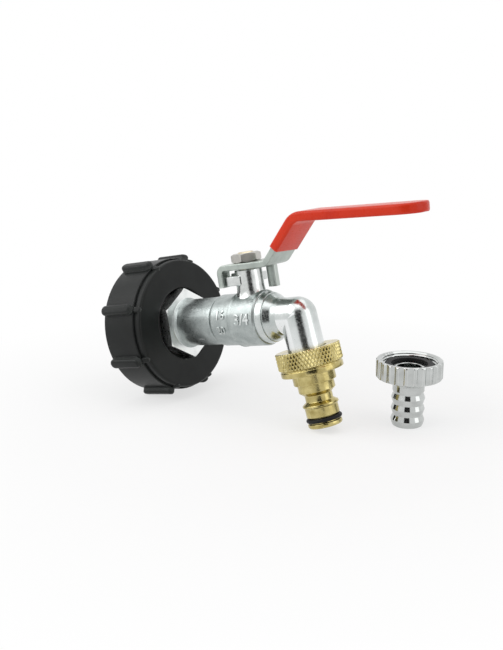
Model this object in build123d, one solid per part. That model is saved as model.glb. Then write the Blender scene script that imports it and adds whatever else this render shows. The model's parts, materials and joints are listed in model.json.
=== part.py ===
from build123d import *
import math
import os

# Tap valve set for a bulk liquid container: a black tank coupling, a plated quarter-turn ball
# valve with a red-sleeved lever, a brass tap connector on its spout and, standing beside it, a
# chromed hose tail with its loose union nut.
# Millimetres. The valve is drawn upright in its own frame: pipe axis along X with the outlet
# towards +X, x = 0 on the hexagon's front face, and the stem along +Z. It is laid down at the end.

# Tank coupling, moulded plastic: everything outside the tank thread follows from it and a wall
tank_thread_radius = 30.15
coupling_wall = 4.05
coupling_radius = tank_thread_radius + coupling_wall
front_step = 2.2
coupling_front_radius = coupling_radius - front_step
coupling_front = -4.0
coupling_shoulder = -7.3
coupling_mouth = -28.0
coupling_edge_chamfer = 0.8
front_groove_floor = -7.8
front_groove_wall = 1.1
front_groove_radius = coupling_radius - front_groove_wall
thread_relief_step = 1.05
thread_relief_radius = tank_thread_radius - thread_relief_step
cavity_floor = -12.0
thread_relief_length = 3.3
thread_relief_end = cavity_floor - thread_relief_length
front_round = 0.7
recess_round = 0.4
rib_count = 8
rib_width = 5.2
rib_height = 3.3
rib_round = 1.5
rib_sink = 1.5
nub_length = 4.4
nub_width = 3.0
nub_height = 0.9
nub_sink = 1.2
nub_seat = 0.45

# Corners of every hexagon
corner_cut = 0.3
corner_slope = 38.0

# Valve body
hex_across_flats = 31.6
hex_thickness = 7.0
hex_foot_growth = 1.3
hex_foot_round = 1.4
thread_radius = 13.1
thread_chamfer = 0.8
thread_clearance = 0.1
neck_radius = 12.05
neck_length = 24.0
band_radius = 12.9
band_slope_length = 1.2
band_end = 37.0
band_line_width = 0.5
band_line_height = 0.55
chamber_slope_length = 0.9
chamber_radius_outside = 13.6
chamber_end = 52.3
chamber_end_chamfer = (0.5, 0.9)
groove_width = 1.0
groove_radius = 12.6
inlet_bore_radius = 8.0
inlet_cone_start = 4.0
inlet_cone_end = 1.0
stem_x = 43.8
housing_radius = 6.8
housing_flare = 1.4
housing_flare_low = 10.8
housing_flare_high = 16.2
housing_flare_sink = 2.0
housing_top = 24.6

# Recess, boss and seals of the coupling, which follow the valve's hexagon and inlet thread
recess_clearance = 0.25573
recess_radius = hex_across_flats / math.sqrt(3) + recess_clearance
boss_wall = 4.8
boss_radius = thread_radius + thread_clearance + boss_wall
gasket_thickness = 3.0
gasket_clearance = 0.1
gasket_radius = thread_relief_radius - gasket_clearance
gasket_lip = 3.0
gasket_hole_radius = boss_radius + gasket_lip
inlet_seal_thickness = 1.5
inlet_seal_margin = 2.0
inlet_seal_radius = recess_radius - inlet_seal_margin
inlet_seal_clearance = 0.3

# Stop lugs on the stem's post: one faces back along the pipe, one faces away from the viewer
back_lug_reach = 9.4
back_lug_near = -5.6
back_lug_far = 2.0
back_lug_bottom = 17.4
back_lug_top = 22.2
back_step_reach = 8.6
back_step_near = -2.4
back_step_top = 23.2
side_lug_half_width = 2.3
side_lug_reach = 11.6
side_lug_bottom = 17.7
side_lug_top = 21.9
lug_round = 0.7

# Ball and seats
ball_radius = 8.5
flow_radius = 5.0
ball_clearance = 0.2
seat_bore_radius = 5.4
seat_start = 4.0
seat_back = 7.6
chamber_radius = 9.0
slip_clearance = 0.05

# Stem, its seals and nut
stem_radius = 4.0
stem_bore_clearance = 0.06
stem_flats = 5.8
tang_thickness = 2.9
tang_width = 7.4
tang_bottom = 6.1
slot_clearance = 0.05
slot_floor = 6.0
collar_radius = 5.2
collar_clearance = 0.1
collar_bottom = 9.2
collar_top = 10.8
thrust_washer_thickness = 0.9
o_ring_heights = (15.0, 18.6)
o_ring_section = 0.7
nut_across_flats = 13.0
nut_height = 4.4
nut_turn = -12.0
stem_proud = 0.5
stem_chamfer = 0.5
groove_clearance = 0.1

# Lever strip
strip_thickness = 3.0
plate_gap = 0.5
plate_half_width = 9.2
plate_back = 7.9
plate_back_round = 2.0
tongue_width = 6.7
tongue_reach = 12.6
tongue_drop = 11.0
slant_foot = 16.6
slant_head = 35.6
handle_rise = 20.6
handle_droop = 3.8
handle_end = 99.6
fold_radius = 2.8
knee_radius = 4.5
elbow_radius = 8.5
side_tab_start = 6.1
side_tab_length = 5.1
side_tab_drop = 14.0
side_tab_lap = 1.0

# Lever sleeve, dipped soft plastic
sleeve_wall = 0.95
sleeve_start = 7.2
sleeve_round = 1.3

# Spout
spout_tube_radius = 8.55
spout_bore_radius = 5.5
spout_corner_x = 69.8
spout_lean = 6.3
spout_bend_radius = 9.7
spout_collar_radius = 13.2
spout_collar_length = 3.2
spout_collar_round = 1.8
spout_thread_gap = 0.8
plug_radius = 11.6
plug_length = 4.1
body_seal_section = 0.6

# Brass tap connector, measured along the spout's leg from its upper rim
connector_start = 16.2
connector_edge = 0.5
knurl_radius = 15.7
knurl_runout = 0.6
knurl_length = 8.0
flange_radius = 15.1
flange_end = 11.3
ring_radius = 10.35
ring_end = 16.3
lower_ring_radius = 8.9
lower_ring_end = 20.1
nipple_neck_radius = 6.65
nipple_neck_start = 21.9
nipple_neck_end = 25.0
nipple_bump_radius = 8.8
nipple_bump = 26.8
nipple_bump_slope = (0.3, 0.5)
barrel_radius = 8.05
barrel_start = 27.9
barrel_end = 32.3
nipple_groove_radius = 7.0
nipple_groove_end = 35.4
tip_radius = 8.3
nipple_tip = 37.6
tip_round = 1.2
connector_socket_depth = 9.3
connector_bore_radius = 5.0
connector_washer_thickness = 2.0
connector_washer_hole = 6.5
nipple_o_ring_radius = 8.7

# Hose tail and union nut, measured up from the table
tail_place = (112.0, 29.9)
union_nut_top = 32.7
union_nut_height = 9.0
union_nut_radius = 15.9
union_nut_chamfer = 1.0
union_floor_thickness = 1.8
union_relief_radius = 12.2
union_thread_radius = 13.25
thread_gap = 0.3
union_washer_thickness = 1.6
union_washer_hole = 8.6
flute_count = 24
flute_radius = 1.9
flute_depth = 0.75
running_clearance = 0.08
tail_flange_radius = 11.7
tail_flange_thickness = 1.8
tail_neck_radius = 7.65
tail_bore_radius = 5.6
tail_bead_radius = 8.3
tail_bead_height = 0.8
tail_bead_slope = 0.4
tail_line_radius = 7.9
tail_line_low = 20.5
tail_line_high = 21.0
barb_radius = 8.1
barb_waist_radius = 7.3
barb_crests = (3.2, 8.6, 14.0)
barb_fall = 2.5
barb_end = 17.6
tail_foot_radius = 6.5
tail_foot_height = 1.1
tail_foot_slope = 1.1

along_x = Rot(0, 90, 0)


def turned(*corners):
    # A solid of revolution about Z from (radius, height) corners, closed by its last edge.
    outline = make_face(Plane.XZ * Polyline(*corners, close=True))
    return revolve(outline, Axis.Z)


def ring(inner, outer, low, high):
    return turned((inner, low), (outer, low), (outer, high), (inner, high))


def rod(radius, low, high):
    return Pos(0, 0, (low + high) / 2) * Cylinder(radius, high - low)


def block(low, high):
    # A box between two opposite corners.
    size = [after - before for before, after in zip(low, high)]
    return Pos(*low) * Box(*size, align=(Align.MIN, Align.MIN, Align.MIN))


def circles_at(part, radius):
    # The circular edges of one radius, to round or chamfer.
    return part.edges().filter_by(GeomType.CIRCLE).filter_by(lambda edge: abs(edge.radius - radius) < 0.01)


def hexagon_prism(across_flats, low, high, turn):
    # A hexagon with its corners turned down at both ends, by a cone that just cuts into its flats.
    corner = across_flats / math.sqrt(3)
    flat = across_flats / 2 - corner_cut
    drop = (corner - flat) * math.tan(math.radians(corner_slope))
    outline = Rot(0, 0, turn) * RegularPolygon(corner, 6)
    prism = Pos(0, 0, low) * extrude(outline, high - low)
    limit = turned((0, low), (flat, low), (corner, low + drop), (corner, high - drop), (flat, high), (0, high))
    return prism & limit


def coupling_parts():
    gasket_end = cavity_floor - gasket_thickness
    recess_floor = -hex_thickness - inlet_seal_thickness
    hole = thread_radius + thread_clearance
    shell = turned(
        (hole, recess_floor), (recess_radius, recess_floor), (recess_radius, coupling_front),
        (coupling_front_radius, coupling_front), (coupling_front_radius, front_groove_floor),
        (front_groove_radius, front_groove_floor), (front_groove_radius, coupling_shoulder),
        (coupling_radius, coupling_shoulder), (coupling_radius, coupling_mouth),
        (tank_thread_radius, coupling_mouth), (tank_thread_radius, thread_relief_end),
        (thread_relief_radius, thread_relief_end), (thread_relief_radius, cavity_floor),
        (boss_radius, cavity_floor), (boss_radius, gasket_end), (hole, gasket_end))
    shell = fillet(circles_at(shell, coupling_front_radius).sort_by(Axis.Z)[-1:], front_round)
    shell = fillet(circles_at(shell, recess_radius).sort_by(Axis.Z)[-1:], recess_round)
    shell = fillet(circles_at(shell, coupling_radius).sort_by(Axis.Z)[-1:], recess_round)
    mouth_edges = circles_at(shell, coupling_radius).sort_by(Axis.Z)[:1] + circles_at(
        shell, tank_thread_radius).sort_by(Axis.Z)[:1]
    shell = chamfer(mouth_edges, coupling_edge_chamfer)

    rib_length = coupling_shoulder - coupling_mouth
    rib = extrude(SlotOverall(rib_length, rib_width), rib_sink + rib_height)
    rib = fillet(rib.edges().group_by(Axis.Z)[-1], rib_round)
    rib = Pos((coupling_shoulder + coupling_mouth) / 2, 0, coupling_radius - rib_sink) * rib
    step = coupling_radius - coupling_front_radius
    slope = math.degrees(math.atan2(step, coupling_front - coupling_shoulder))
    nub = extrude(SlotOverall(nub_length, nub_width), nub_sink + nub_height, taper=10)
    nub_middle = (coupling_front + coupling_shoulder) / 2
    nub_level = coupling_radius - step / 2 - nub_seat
    nub = Pos(nub_middle, 0, nub_level) * Rot(0, slope, 0) * Pos(0, 0, -nub_sink) * nub
    solid = along_x * shell
    for number in range(rib_count):
        turn = (number + 0.5) * 360 / rib_count
        solid += Rot(turn, 0, 0) * rib
        solid += Rot(turn, 0, 0) * nub
    gasket = along_x * ring(gasket_hole_radius, gasket_radius, gasket_end, cavity_floor)
    seal = along_x * ring(hole + inlet_seal_clearance, inlet_seal_radius, recess_floor, -hex_thickness)
    return {"coupling": solid, "coupling_gasket": gasket, "inlet_seal": seal}


def stem_housing():
    # The stem's post, with a hollow flare where it meets the body, and its two stop lugs.
    flare_rise = housing_flare_high - housing_flare_low
    flare_round = (housing_flare ** 2 + flare_rise ** 2) / (2 * housing_flare)
    start = (housing_radius + housing_flare, housing_flare_low)
    end = (housing_radius, housing_flare_high)
    foot = housing_flare_low - housing_flare_sink
    curve = RadiusArc(start, end, flare_round)
    rest = Polyline(end, (housing_radius, housing_top), (0, housing_top), (0, foot), (start[0], foot), start)
    post = revolve(make_face(Plane.XZ * Wire([curve] + rest.edges())), Axis.Z)
    back_lug = block((-back_lug_reach, back_lug_near, back_lug_bottom), (0, back_lug_far, back_lug_top))
    back_lug = fillet(back_lug.edges().group_by(Axis.X)[0], lug_round)
    back_step = block((-back_step_reach, back_step_near, back_lug_bottom + 1), (0, back_lug_far, back_step_top))
    side_lug = block((-side_lug_half_width, 0, side_lug_bottom), (side_lug_half_width, side_lug_reach, side_lug_top))
    return Pos(stem_x, 0, 0) * (post + back_lug + back_step + side_lug)


def valve_body():
    thread_end = cavity_floor - gasket_thickness
    end_face = chamber_end + groove_width
    plug_bore = plug_radius + slip_clearance
    line_radius = band_radius + band_line_height
    line_start = band_end - band_line_width
    end_chamfer, end_chamfer_length = chamber_end_chamfer
    turned_body = turned(
        (0, thread_end), (thread_radius, thread_end), (thread_radius, -hex_thickness),
        (neck_radius, -hex_thickness), (neck_radius, neck_length),
        (band_radius, neck_length + band_slope_length), (band_radius, line_start), (line_radius, line_start),
        (line_radius, band_end), (chamber_radius_outside, band_end + chamber_slope_length),
        (chamber_radius_outside, chamber_end - end_chamfer_length),
        (chamber_radius_outside - end_chamfer, chamber_end), (groove_radius, chamber_end),
        (groove_radius, end_face), (0, end_face))
    turned_body = chamfer(circles_at(turned_body, thread_radius).sort_by(Axis.Z)[:1], thread_chamfer)
    hexagon = hexagon_prism(hex_across_flats, -hex_thickness, 0, 0)
    foot = rod(neck_radius + hex_foot_growth, -1, hex_foot_round)
    foot -= Pos(0, 0, hex_foot_round) * Torus(neck_radius + hex_foot_round, hex_foot_round)
    solid = along_x * (turned_body + hexagon + foot) + stem_housing()
    chamber_start = stem_x - seat_back
    cone_start = chamber_start - inlet_cone_start
    cone_end = chamber_start - inlet_cone_end
    hollow = rod(inlet_bore_radius, thread_end, cone_start)
    hollow += turned((0, cone_start), (inlet_bore_radius, cone_start), (flow_radius, cone_end),
                     (flow_radius, chamber_start), (0, chamber_start))
    hollow += rod(chamber_radius, chamber_start, end_face)
    hollow += rod(plug_bore, end_face - plug_length - slip_clearance, end_face)
    solid -= along_x * hollow
    ledge = collar_top + thrust_washer_thickness + 2 * slip_clearance
    solid -= Pos(stem_x, 0, 0) * rod(collar_radius + collar_clearance, 0, ledge)
    solid -= Pos(stem_x, 0, 0) * rod(stem_radius + stem_bore_clearance, 0, housing_top)
    return solid


def seat(direction):
    # One of the two seat rings, cupped to the ball. direction is -1 at the inlet, 1 at the outlet.
    hollow = ball_radius + ball_clearance
    outside = chamber_radius - slip_clearance
    rim = math.acos(seat_start / hollow)
    throat = math.asin(seat_bore_radius / hollow)
    cup = [(hollow * math.sin(angle), hollow * math.cos(angle)) for angle in (throat, (throat + rim) / 2, rim)]
    walls = Polyline(cup[2], (outside, seat_start), (outside, seat_back), (seat_bore_radius, seat_back), cup[0])
    face = make_face(Plane.XZ * Wire([ThreePointArc(*cup)] + walls.edges()))
    solid = Rot(0, 90 * direction, 0) * revolve(face, Axis.Z)
    return Pos(stem_x, 0, 0) * solid


def ball():
    solid = Sphere(ball_radius) - along_x * rod(flow_radius, -ball_radius, ball_radius)
    slot_height = ball_radius - slot_floor
    slot = Box(tang_thickness + 2 * slot_clearance, 2 * ball_radius, slot_height,
               align=(Align.CENTER, Align.CENTER, Align.MIN))
    return Pos(stem_x, 0, 0) * (solid - Pos(0, 0, slot_floor) * slot)


def plate_bottom():
    return housing_top + plate_gap


def plate_top():
    return plate_bottom() + strip_thickness


def double_d(radius, flats, low, high):
    return rod(radius, low, high) & Pos(0, 0, (low + high) / 2) * Box(4 * radius, flats, high - low)


def stem_parts():
    groove_floor = stem_radius - 2 * o_ring_section
    top = plate_top() + nut_height + stem_proud
    stem = rod(collar_radius, collar_bottom, collar_top) + rod(stem_radius, collar_top, plate_bottom())
    tang = Box(tang_thickness, tang_width, collar_bottom - tang_bottom, align=(Align.CENTER, Align.CENTER, Align.MIN))
    stem += Pos(0, 0, tang_bottom) * tang
    stem += double_d(stem_radius, stem_flats, plate_bottom(), plate_top())
    threaded = rod(stem_radius, plate_top(), top)
    stem += chamfer(circles_at(threaded, stem_radius).sort_by(Axis.Z)[-1:], stem_chamfer)
    rings = []
    for height in o_ring_heights:
        half_groove = o_ring_section + groove_clearance
        stem -= ring(groove_floor, stem_radius + 1, height - half_groove, height + half_groove)
        rings.append(Pos(stem_x, 0, height) * Torus(stem_radius - o_ring_section, o_ring_section))
    washer_low = collar_top + slip_clearance
    washer = ring(stem_radius + slip_clearance, collar_radius, washer_low, washer_low + thrust_washer_thickness)
    nut = hexagon_prism(nut_across_flats, plate_top(), plate_top() + nut_height, nut_turn)
    nut -= rod(stem_radius + slip_clearance, plate_top(), plate_top() + nut_height)
    place = Pos(stem_x, 0, 0)
    return {"stem": place * stem, "stem_thrust_washer": place * washer,
            "stem_o_rings": Compound(rings), "stem_nut": place * nut}


def handle_slope():
    return math.tan(math.radians(handle_droop))


def lever_line(start, end_reach, tongue):
    # The strip's middle line seen from the side, as (distance from the stem, height).
    level = plate_bottom() + strip_thickness / 2
    tongue_x = -tongue_reach + strip_thickness / 2
    end = (end_reach, level + handle_rise - handle_slope() * (end_reach - slant_head))
    corners = [(slant_foot, level), (slant_head, level + handle_rise), end]
    radii = [knee_radius, elbow_radius]
    if tongue:
        corners = [(tongue_x, plate_top() - tongue_drop), (tongue_x, level)] + corners
        radii = [fold_radius] + radii
    else:
        rise = math.atan2(handle_rise, slant_head - slant_foot)
        corners[0] = (slant_foot + start * math.cos(rise), level + start * math.sin(rise))
        radii = radii[1:]
    points = [(stem_x + along, 0, height) for along, height in corners]
    return FilletPolyline(*points, radius=radii)


def bent_strip(line, outline):
    section = Plane(origin=line @ 0, x_dir=(0, 1, 0), z_dir=line % 0) * outline
    return sweep(section, path=line)


def lever_outline(grow):
    # The lever seen from above: tongue along its near edge, wide plate and full-round end, as a tall cutter.
    half = plate_half_width + grow
    end_x = handle_end - sleeve_wall + grow
    far_back = -tongue_reach - 1
    tongue_side = tongue_width - half
    edge = Polyline((end_x - half, -half), (far_back, -half), (far_back, tongue_side), (-plate_back, tongue_side),
                    (-plate_back, half), (end_x - half, half))
    nose = ThreePointArc((end_x - half, half), (end_x, 0), (end_x - half, -half))
    face = make_face(Wire(edge.edges() + [nose]))
    height = 2 * (plate_top() + handle_rise)
    cutter = extrude(face, height)
    corner = cutter.edges().filter_by(Axis.Z).sort_by_distance((-plate_back, half, height / 2))[0]
    return Pos(stem_x, 0, 0) * fillet(corner, plate_back_round)


def lever_parts():
    strip = bent_strip(lever_line(0, handle_end, True), Rectangle(2 * plate_half_width, strip_thickness))
    lever = strip & lever_outline(0)
    tab = block((side_tab_start, plate_half_width - strip_thickness, plate_top() - side_tab_drop),
                (side_tab_start + side_tab_length, plate_half_width, plate_bottom() + side_tab_lap))
    lever += Pos(stem_x, 0, 0) * tab
    lever -= Pos(stem_x, 0, 0) * double_d(stem_radius + slip_clearance, stem_flats + 2 * slip_clearance,
                                          plate_bottom() - 1, plate_top() + 1)
    sleeve_line = lever_line(sleeve_start, handle_end, False)
    sleeve_outline = RectangleRounded(
        2 * (plate_half_width + sleeve_wall), strip_thickness + 2 * sleeve_wall, sleeve_round)
    sleeve = bent_strip(sleeve_line, sleeve_outline) & lever_outline(sleeve_wall)
    sleeve -= strip & lever_outline(0)
    return {"lever": lever, "lever_sleeve": sleeve}


def leg_place(distance):
    # The frame on the spout's leg, a distance below the pipe axis, with Z up the leg.
    return Pos(spout_corner_x, 0, 0) * Rot(0, -spout_lean, 0) * Pos(0, 0, -distance)


def spout_line(start, leg_length):
    lean = math.radians(spout_lean)
    foot = (spout_corner_x + leg_length * math.sin(lean), 0, -leg_length * math.cos(lean))
    return FilletPolyline((start, 0, 0), (spout_corner_x, 0, 0), foot, radius=spout_bend_radius)


def bent_rod(line, radius):
    return sweep(Plane(origin=line @ 0, z_dir=line % 0) * Circle(radius), path=line)


def spout_parts():
    end_face = chamber_end + groove_width
    socket_end = connector_start + connector_socket_depth - connector_washer_thickness
    outside = bent_rod(spout_line(end_face, socket_end - 1), spout_tube_radius)
    collar_end = end_face + spout_collar_length
    collar = turned((0, end_face - plug_length), (plug_radius, end_face - plug_length), (plug_radius, end_face),
                    (spout_collar_radius, end_face), (spout_collar_radius, collar_end), (0, collar_end))
    collar = fillet(circles_at(collar, spout_collar_radius).sort_by(Axis.Z)[-1:], spout_collar_round)
    seal_x = end_face - plug_length / 2
    seal_groove = plug_radius - 2 * body_seal_section
    half_groove = body_seal_section + groove_clearance
    collar -= ring(seal_groove, plug_radius + 1, seal_x - half_groove, seal_x + half_groove)
    thread_length = connector_socket_depth - connector_washer_thickness - spout_thread_gap
    thread = rod(thread_radius, 0, thread_length)
    thread = chamfer(circles_at(thread, thread_radius), thread_chamfer)
    spout = outside + along_x * collar + leg_place(socket_end) * thread
    seat_pocket = stem_x + seat_back
    spout -= along_x * rod(chamber_radius, end_face - plug_length, seat_pocket)
    spout -= bent_rod(spout_line(seat_pocket - 1, socket_end), spout_bore_radius)
    seal = along_x * Pos(0, 0, seal_x) * Torus(plug_radius - body_seal_section, body_seal_section)
    return {"spout": spout, "body_seal": seal}


def connector_parts():
    depth = connector_socket_depth
    socket = thread_radius + thread_clearance
    edge = connector_edge
    bump_rise, bump_slope = nipple_bump_slope
    corners = [
        (socket, 0), (knurl_radius - edge, 0), (knurl_radius, -edge), (knurl_radius, knurl_runout - knurl_length),
        (flange_radius, -knurl_length), (flange_radius, edge - flange_end), (flange_radius - edge, -flange_end),
        (ring_radius, -flange_end), (ring_radius, edge - ring_end), (ring_radius - edge, -ring_end),
        (lower_ring_radius, -ring_end), (lower_ring_radius, -lower_ring_end),
        (nipple_neck_radius, -nipple_neck_start), (nipple_neck_radius, -nipple_neck_end),
        (nipple_bump_radius - bump_rise, bump_slope - nipple_bump), (nipple_bump_radius, -nipple_bump),
        (barrel_radius, -barrel_start), (barrel_radius, -barrel_end),
        (nipple_groove_radius, -barrel_end), (nipple_groove_radius, -nipple_groove_end),
        (tip_radius, -nipple_groove_end), (tip_radius, -nipple_tip), (connector_bore_radius, -nipple_tip),
        (connector_bore_radius, -depth), (socket, -depth)]
    solid = turned(*corners)
    solid = fillet(circles_at(solid, tip_radius).sort_by(Axis.Z)[:1], tip_round)
    washer = ring(connector_washer_hole, thread_radius, -depth, connector_washer_thickness - depth)
    o_ring_section_radius = (nipple_o_ring_radius - nipple_groove_radius) / 2
    groove_middle = -(barrel_end + nipple_groove_end) / 2
    o_ring = Pos(0, 0, groove_middle) * Torus(nipple_groove_radius + o_ring_section_radius, o_ring_section_radius)
    place = leg_place(connector_start)
    return {"tap_connector": place * solid, "connector_washer": place * washer, "nipple_o_ring": place * o_ring}


def hose_tail_parts():
    nut_bottom = union_nut_top - union_nut_height
    floor_top = nut_bottom + union_floor_thickness
    flange_low = floor_top + running_clearance
    flange_top = flange_low + tail_flange_thickness
    washer_top = flange_top + union_washer_thickness
    thread_start = washer_top + thread_gap
    bead_top = nut_bottom - running_clearance
    bead_low = bead_top - tail_bead_height
    corners = [(tail_bore_radius, 0), (tail_foot_radius, 0), (tail_foot_radius + tail_foot_slope, tail_foot_height)]
    for crest in barb_crests:
        corners += [(barb_radius, crest), (barb_waist_radius, crest + barb_fall)]
    corners += [(tail_neck_radius, barb_end), (tail_neck_radius, tail_line_low), (tail_line_radius, tail_line_low),
                (tail_line_radius, tail_line_high), (tail_neck_radius, tail_line_high),
                (tail_neck_radius, bead_low - tail_bead_slope), (tail_bead_radius, bead_low),
                (tail_bead_radius, bead_top), (tail_neck_radius, bead_top), (tail_neck_radius, flange_low),
                (tail_flange_radius, flange_low), (tail_flange_radius, flange_top), (tail_bore_radius, flange_top)]
    tail = turned(*corners)
    washer = ring(union_washer_hole, tail_flange_radius, flange_top, washer_top)
    hole = tail_neck_radius + running_clearance
    shoulder = union_nut_radius - union_nut_chamfer
    nut = turned(
        (hole, nut_bottom), (shoulder, nut_bottom), (union_nut_radius, nut_bottom + union_nut_chamfer),
        (union_nut_radius, union_nut_top - union_nut_chamfer), (shoulder, union_nut_top),
        (union_thread_radius, union_nut_top), (union_thread_radius, thread_start), (union_relief_radius, thread_start),
        (union_relief_radius, floor_top), (hole, floor_top))
    flute = rod(flute_radius, nut_bottom, union_nut_top)
    flute_centre = union_nut_radius + flute_radius - flute_depth
    for number in range(flute_count):
        nut -= Rot(0, 0, number * 360 / flute_count) * Pos(flute_centre, 0, 0) * flute
    return {"hose_tail": tail, "union_washer": washer, "union_nut": nut}


def lay_down(solids):
    # Tips the valve until the coupling's ribs and the connector's tip touch the table together.
    tilt = 11.0
    for attempt in range(6):
        turn = Rot(0, -tilt, 0)
        ribs = (turn * solids["coupling"]).bounding_box()
        tip = (turn * solids["tap_connector"]).bounding_box()
        span = (tip.min.X + tip.max.X) / 2 - ribs.min.X
        tilt -= math.degrees((tip.min.Z - ribs.min.Z) / span)
    return Pos(0, 0, -(turn * solids["coupling"]).bounding_box().min.Z) * turn


valve = {}
valve.update(coupling_parts())
valve["valve_body"] = valve_body()
valve["seat_inlet"] = seat(-1)
valve["seat_outlet"] = seat(1)
valve["ball"] = ball()
valve.update(stem_parts())
valve.update(lever_parts())
valve.update(spout_parts())
valve.update(connector_parts())

laid = lay_down(valve)
placed = {name: laid * solid for name, solid in valve.items()}
for name, solid in hose_tail_parts().items():
    placed[name] = Pos(tail_place[0], tail_place[1], 0) * solid

# The origin is moved to the middle of the whole set's footprint, on the table.
boxes = [solid.bounding_box() for solid in placed.values()]
middle_x = (min(box.min.X for box in boxes) + max(box.max.X for box in boxes)) / 2
middle_y = (min(box.min.Y for box in boxes) + max(box.max.Y for box in boxes)) / 2
centre = Pos(-middle_x, -middle_y, 0)

os.makedirs("parts", exist_ok=True)
for name, solid in placed.items():
    export_step(centre * solid, "parts/" + name + ".step")

print("footprint centre", round(middle_x, 4), round(middle_y, 4))
print("laid down at", laid.position, laid.orientation)
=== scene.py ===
import json
import math

import bmesh
import bpy
from mathutils import Matrix, Vector


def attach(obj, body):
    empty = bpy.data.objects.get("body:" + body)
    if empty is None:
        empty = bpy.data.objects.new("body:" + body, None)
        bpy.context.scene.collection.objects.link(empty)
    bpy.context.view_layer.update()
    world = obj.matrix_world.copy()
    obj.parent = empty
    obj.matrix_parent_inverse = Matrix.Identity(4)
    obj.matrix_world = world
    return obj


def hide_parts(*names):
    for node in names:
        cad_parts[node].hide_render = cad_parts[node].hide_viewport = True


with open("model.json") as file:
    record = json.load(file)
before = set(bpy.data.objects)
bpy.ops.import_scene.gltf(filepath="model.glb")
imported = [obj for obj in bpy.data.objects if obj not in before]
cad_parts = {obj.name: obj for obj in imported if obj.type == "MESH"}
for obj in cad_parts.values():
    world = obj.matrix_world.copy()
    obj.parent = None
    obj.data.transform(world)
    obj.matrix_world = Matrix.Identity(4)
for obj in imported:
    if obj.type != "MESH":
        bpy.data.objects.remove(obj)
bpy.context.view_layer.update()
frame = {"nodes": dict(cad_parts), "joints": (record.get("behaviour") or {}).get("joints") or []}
print("frame loaded:", len(frame["nodes"]), "solids")

# Pieces are drawn in millimetres, in the valve's own frame: pipe along X towards the outlet from the
# hexagon's front face, stem along Z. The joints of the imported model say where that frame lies.
valvePlace = {"stemAlong": 43.8, "jointHeight": 12.0, "legStart": 69.8, "legLean": 6.3}
joints = {joint["name"]: joint for joint in frame["joints"]}
stemAxis = Vector(joints["lever_turn"]["axis"]).normalized()
pipeAxis = Vector((stemAxis.z, 0, -stemAxis.x))
millimetres = Matrix.Scale(0.001, 4)


def axesMatrix(alongX, alongY, alongZ, origin):
    turn = Matrix((alongX, alongY, alongZ)).transposed().to_4x4()
    return Matrix.Translation(origin) @ turn


valveOrigin = (
    Vector(joints["lever_turn"]["pos_m"])
    - pipeAxis * valvePlace["stemAlong"] / 1000
    - stemAxis * valvePlace["jointHeight"] / 1000
)
valveFrame = axesMatrix(pipeAxis, Vector((0, 1, 0)), stemAxis, valveOrigin) @ millimetres
alongX = Matrix.Rotation(math.radians(90), 4, "Y")  # lays what was turned about Z along X
aboutStem = valveFrame @ Matrix.Translation((valvePlace["stemAlong"], 0, 0))
downLeg = (
    valveFrame
    @ Matrix.Translation((valvePlace["legStart"], 0, 0))
    @ Matrix.Rotation(math.radians(-valvePlace["legLean"]), 4, "Y")
)
nutJoint = Vector(joints["union_nut_spin"]["pos_m"])
tailFrame = Matrix.Translation((nutJoint.x, nutJoint.y, 0)) @ millimetres
legAxis = (downLeg.to_3x3() @ Vector((0, 0, 1))).normalized()


def newFinish(name):
    material = bpy.data.materials.new(name)
    material.use_nodes = True
    tree = material.node_tree
    shader = tree.nodes["Principled BSDF"]
    coordinates = tree.nodes.new("ShaderNodeTexCoord")
    return material, tree, shader, coordinates.outputs["Object"]


def noiseLayer(tree, place, perMetre, detail, roughness=0.55, stretch=None):
    if stretch:
        squeeze = tree.nodes.new("ShaderNodeMapping")
        squeeze.inputs["Scale"].default_value = stretch
        tree.links.new(place, squeeze.inputs["Vector"])
        place = squeeze.outputs["Vector"]
    noise = tree.nodes.new("ShaderNodeTexNoise")
    noise.inputs["Scale"].default_value = perMetre
    noise.inputs["Detail"].default_value = detail
    noise.inputs["Roughness"].default_value = roughness
    tree.links.new(place, noise.inputs["Vector"])
    return noise.outputs["Fac"]


def colourBetween(tree, amount, low, high, dark, light):
    ramp = tree.nodes.new("ShaderNodeValToRGB")
    ramp.color_ramp.elements[0].position = low
    ramp.color_ramp.elements[0].color = (*dark, 1)
    ramp.color_ramp.elements[1].position = high
    ramp.color_ramp.elements[1].color = (*light, 1)
    tree.links.new(amount, ramp.inputs["Fac"])
    return ramp.outputs["Color"]


def rangeOf(tree, amount, low, high, start=0.3, end=0.7):
    spread = tree.nodes.new("ShaderNodeMapRange")
    spread.inputs["From Min"].default_value = start
    spread.inputs["From Max"].default_value = end
    spread.inputs["To Min"].default_value = low
    spread.inputs["To Max"].default_value = high
    tree.links.new(amount, spread.inputs["Value"])
    return spread.outputs["Result"]


def addBumps(tree, shader, layers):
    normal = None
    for height, strength, depth in layers:
        bump = tree.nodes.new("ShaderNodeBump")
        bump.inputs["Strength"].default_value = strength
        bump.inputs["Distance"].default_value = depth
        tree.links.new(height, bump.inputs["Height"])
        if normal:
            tree.links.new(normal, bump.inputs["Normal"])
        normal = bump.outputs["Normal"]
    tree.links.new(normal, shader.inputs["Normal"])


def wearAndHighlightTowards(tree, colour, wornAndLitColour, amount):
    # Mixes a lighter colour in where the amount is high: edge wear, and a painted highlight on edges.
    mix = tree.nodes.new("ShaderNodeMix")
    mix.data_type = "RGBA"
    mix.inputs["B"].default_value = (*wornAndLitColour, 1)
    tree.links.new(amount, mix.inputs["Factor"])
    tree.links.new(colour, mix.inputs["A"])
    return mix.outputs["Result"]


def edgeAmount(tree, low, high):
    # High on ridges and edges of the mesh, low in its corners.
    geometry = tree.nodes.new("ShaderNodeNewGeometry")
    return rangeOf(tree, geometry.outputs["Pointiness"], 0, 1, low, high)


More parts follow.
